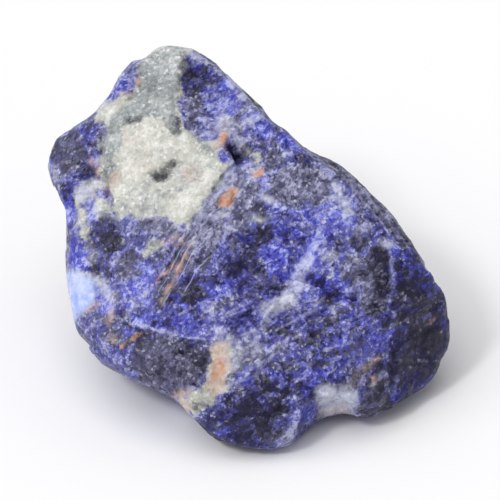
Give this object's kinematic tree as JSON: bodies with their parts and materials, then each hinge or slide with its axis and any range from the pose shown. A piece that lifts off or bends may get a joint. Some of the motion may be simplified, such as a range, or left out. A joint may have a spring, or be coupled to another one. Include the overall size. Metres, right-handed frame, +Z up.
{
  "type": "rough sodalite",
  "caption": "Rough broken lump of blue sodalite with a cream calcite patch, dark grey mottling and orange feldspar flecks, resting on a flattened side.",
  "frame": {"origin": "on the table, under the middle of the lump's bounding box", "axes": "+X to the right along the lump's longest side, +Z up, the best face looks towards -Y and up"},
  "size_m": [0.0502, 0.0448, 0.0346],
  "materials": {
    "sodalite": "rough fracture, lightly worn, semi-matt with a few glassy cleavage glints"
  },
  "bodies": {
    "root": {"sodalite_stone": "sodalite"}
  },
  "joints": []
}
